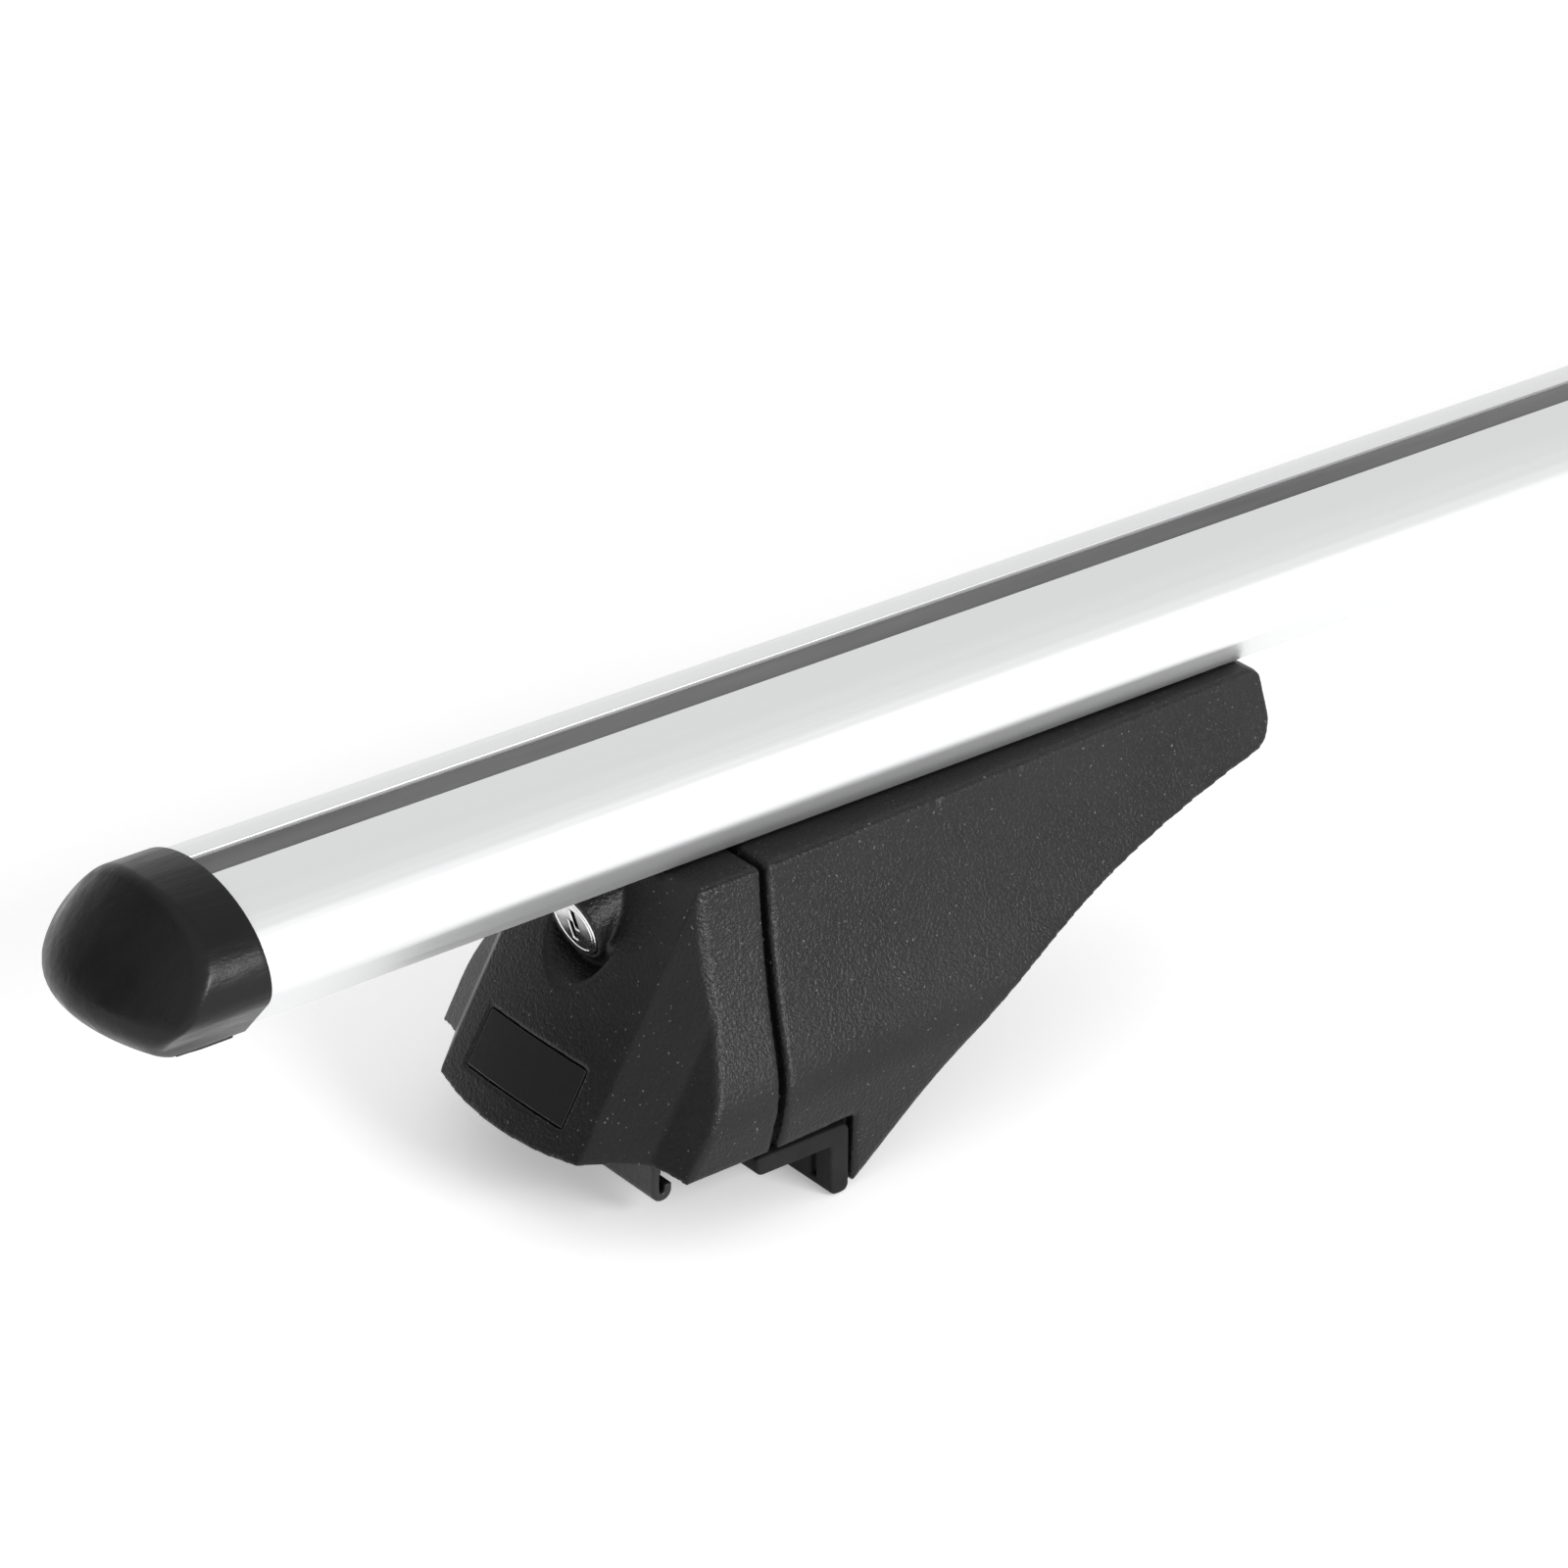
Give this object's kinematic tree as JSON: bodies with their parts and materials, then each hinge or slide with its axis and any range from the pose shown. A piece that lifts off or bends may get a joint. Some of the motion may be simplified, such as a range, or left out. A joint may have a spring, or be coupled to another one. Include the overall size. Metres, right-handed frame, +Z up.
{
  "type": "roof rack crossbar",
  "caption": "Aluminium half-moon roof crossbar with a rubber slot strip, end caps and two lockable feet that clamp on raised rails.",
  "frame": {"origin": "middle of the bar, on the level that the feet's rubber jaw pads stand on", "axes": "+X along the bar, +Z up, +Y across the bar (the car's length)"},
  "size_m": [1.2146, 0.0908, 0.1057],
  "materials": {
    "bar_aluminium": "satin anodised",
    "strip_rubber": "matt extruded rubber",
    "cap_plastic": "smooth satin moulded plastic",
    "foot_plastic": "fine-grained glass-filled plastic",
    "badge_gloss": "gloss, blank",
    "lock_chrome": "polished",
    "zinc_steel": "zinc plated",
    "black_steel": "black coated",
    "pad_rubber": "matt moulded rubber"
  },
  "bodies": {
    "bar": {"bar_extrusion": "bar_aluminium", "slot_strip": "strip_rubber", "left_end_cap": "cap_plastic", "right_end_cap": "cap_plastic"},
    "left_foot": {"left_foot_body": "foot_plastic", "left_jaw_pad": "pad_rubber", "left_clamp_nut": "zinc_steel", "left_channel_bolt_outer": "zinc_steel", "left_channel_washer_outer": "zinc_steel", "left_channel_nut_outer": "zinc_steel", "left_channel_bolt_inner": "zinc_steel", "left_channel_washer_inner": "zinc_steel", "left_channel_nut_inner": "zinc_steel"},
    "left_cover": {"left_foot_cover": "foot_plastic", "left_badge_insert": "badge_gloss", "left_lock_barrel": "lock_chrome"},
    "left_lock": {"left_lock_plug": "lock_chrome", "left_lock_cam": "zinc_steel"},
    "left_claw": {"left_clamp_claw": "black_steel", "left_claw_pad": "pad_rubber"},
    "left_screw": {"left_clamp_screw": "zinc_steel", "left_clamp_washer": "zinc_steel"},
    "right_foot": {"right_foot_body": "foot_plastic", "right_jaw_pad": "pad_rubber", "right_clamp_nut": "zinc_steel", "right_channel_bolt_outer": "zinc_steel", "right_channel_washer_outer": "zinc_steel", "right_channel_nut_outer": "zinc_steel", "right_channel_bolt_inner": "zinc_steel", "right_channel_washer_inner": "zinc_steel", "right_channel_nut_inner": "zinc_steel"},
    "right_cover": {"right_foot_cover": "foot_plastic", "right_badge_insert": "badge_gloss", "right_lock_barrel": "lock_chrome"},
    "right_lock": {"right_lock_plug": "lock_chrome", "right_lock_cam": "zinc_steel"},
    "right_claw": {"right_clamp_claw": "black_steel", "right_claw_pad": "pad_rubber"},
    "right_screw": {"right_clamp_screw": "zinc_steel", "right_clamp_washer": "zinc_steel"}
  },
  "joints": [
    {"name": "left_foot_slide", "type": "slide", "parent": "bar", "child": "left_foot", "axis": [1, 0, 0], "range_m": [-0.04, 0.16]},
    {"name": "left_cover_slide", "type": "slide", "parent": "left_foot", "child": "left_cover", "axis": [-1, 0, 0], "range_m": [0, 0.055]},
    {"name": "left_lock_turn", "type": "hinge", "parent": "left_cover", "child": "left_lock", "pos_m": [-0.4845, 0, 0.0597], "axis": [0.9613, 0, 0.2756], "range_deg": [0, 90]},
    {"name": "left_claw_slide", "type": "slide", "parent": "left_foot", "child": "left_claw", "axis": [1, 0, 0], "range_m": [0, 0.008]},
    {"name": "left_screw_turn", "type": "hinge", "parent": "left_claw", "child": "left_screw", "pos_m": [-0.4796, 0, 0.0297], "axis": [1, 0, 0], "range_deg": [0, 2304.1]},
    {"name": "right_foot_slide", "type": "slide", "parent": "bar", "child": "right_foot", "axis": [-1, 0, 0], "range_m": [-0.04, 0.16]},
    {"name": "right_cover_slide", "type": "slide", "parent": "right_foot", "child": "right_cover", "axis": [1, 0, 0], "range_m": [0, 0.055]},
    {"name": "right_lock_turn", "type": "hinge", "parent": "right_cover", "child": "right_lock", "pos_m": [0.4845, 0, 0.0597], "axis": [-0.9613, 0, 0.2756], "range_deg": [0, 90]},
    {"name": "right_claw_slide", "type": "slide", "parent": "right_foot", "child": "right_claw", "axis": [-1, 0, 0], "range_m": [0, 0.008]},
    {"name": "right_screw_turn", "type": "hinge", "parent": "right_claw", "child": "right_screw", "pos_m": [0.4796, 0, 0.0297], "axis": [-1, 0, 0], "range_deg": [0, 2304.1]}
  ],
  "couplings": [
    {"joint": "left_screw_turn", "follows": "left_claw_slide", "rad_per_m": 5026.5},
    {"joint": "right_screw_turn", "follows": "right_claw_slide", "rad_per_m": 5026.5}
  ]
}
